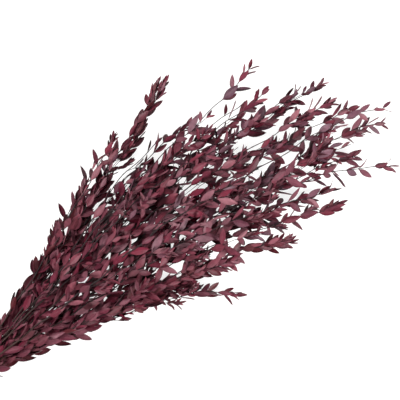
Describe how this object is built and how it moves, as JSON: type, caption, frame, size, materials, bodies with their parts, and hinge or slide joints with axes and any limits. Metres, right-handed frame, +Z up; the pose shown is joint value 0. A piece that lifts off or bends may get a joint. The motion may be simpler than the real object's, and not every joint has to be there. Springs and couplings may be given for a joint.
{
  "type": "preserved eucalyptus bunch",
  "caption": "Bunch of preserved small-leaved eucalyptus in burgundy, held by a rubber band and lying down, with its leafy stems spread in a flat fan.",
  "frame": {"origin": "on the table, below the middle of the whole bunch", "axes": "+X from the cut ends towards the leafy tips, along the middle line of the bunch; +Z up from the table that it lies on"},
  "size_m": [0.708, 0.2614, 0.1082],
  "materials": {
    "foliage": "dyed and glycerine-preserved woody stems and leathery leaves, satin",
    "rubber": "natural latex, matt"
  },
  "bodies": {
    "root": {"leafy_stem_01": "foliage", "leafy_stem_02": "foliage", "leafy_stem_03": "foliage", "leafy_stem_04": "foliage", "leafy_stem_05": "foliage", "leafy_stem_06": "foliage", "leafy_stem_07": "foliage", "leafy_stem_08": "foliage", "leafy_stem_09": "foliage", "leafy_stem_10": "foliage", "leafy_stem_11": "foliage", "leafy_stem_12": "foliage", "leafy_stem_13": "foliage", "leafy_stem_14": "foliage", "leafy_stem_15": "foliage", "leafy_stem_16": "foliage", "leafy_stem_17": "foliage", "leafy_stem_18": "foliage", "leafy_stem_19": "foliage", "leafy_stem_20": "foliage", "leafy_stem_21": "foliage", "leafy_stem_22": "foliage", "leafy_stem_23": "foliage", "leafy_stem_24": "foliage", "rubber_band": "rubber"}
  },
  "joints": []
}
